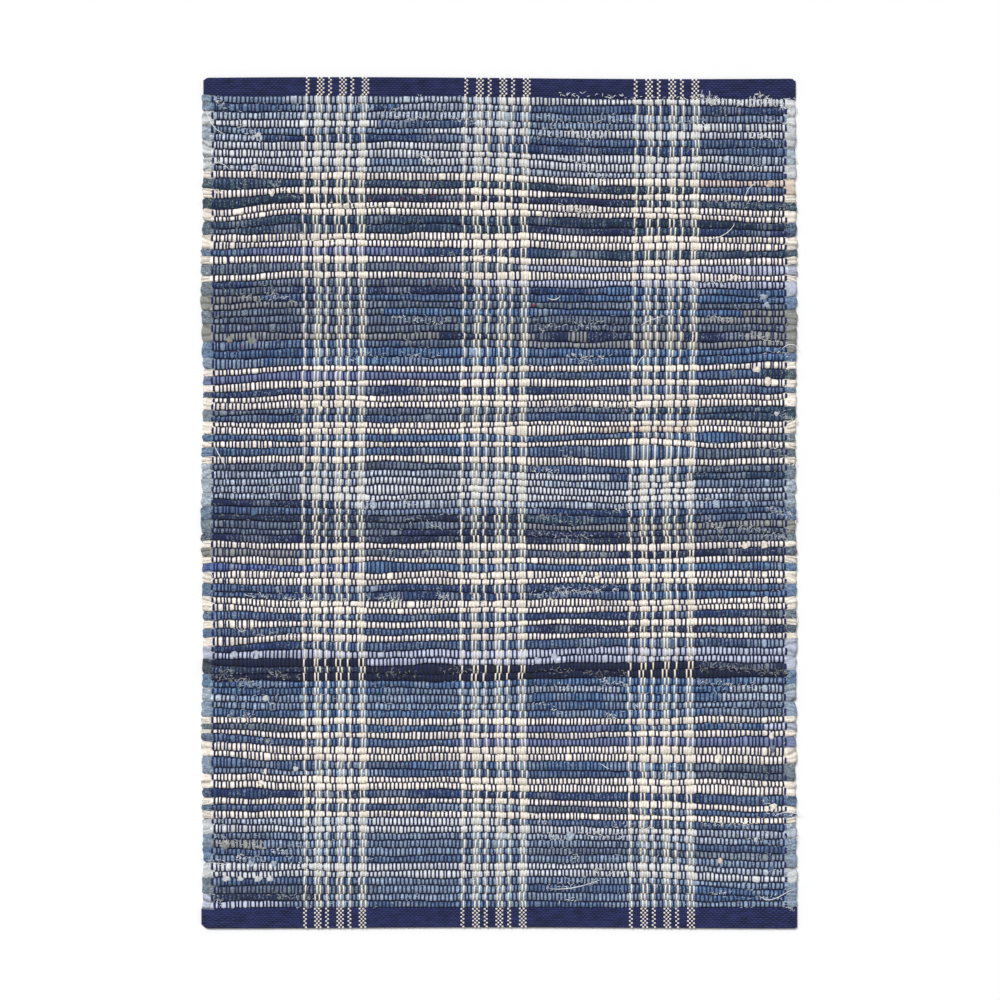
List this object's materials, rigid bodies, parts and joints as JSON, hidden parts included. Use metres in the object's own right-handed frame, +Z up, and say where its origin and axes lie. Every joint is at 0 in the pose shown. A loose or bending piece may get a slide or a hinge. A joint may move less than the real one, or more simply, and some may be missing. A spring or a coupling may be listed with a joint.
{
  "type": "handwoven cotton rag rug",
  "caption": "Small flat-woven rag rug: thick recycled blue and cream cotton weft ribs on a fine navy and ecru warp, looped selvedges, turned navy hems.",
  "frame": {"origin": "centre of the rug's outline, on the floor that the rug lies on", "axes": "+X across the rug, +Y along the rug towards the end at the top of the picture, +Z up from the floor"},
  "size_m": [0.6015, 0.8596, 0.0057],
  "materials": {
    "woven_cotton": "matte plain weave of rag strips"
  },
  "bodies": {
    "root": {"rug": "woven_cotton"}
  },
  "joints": []
}
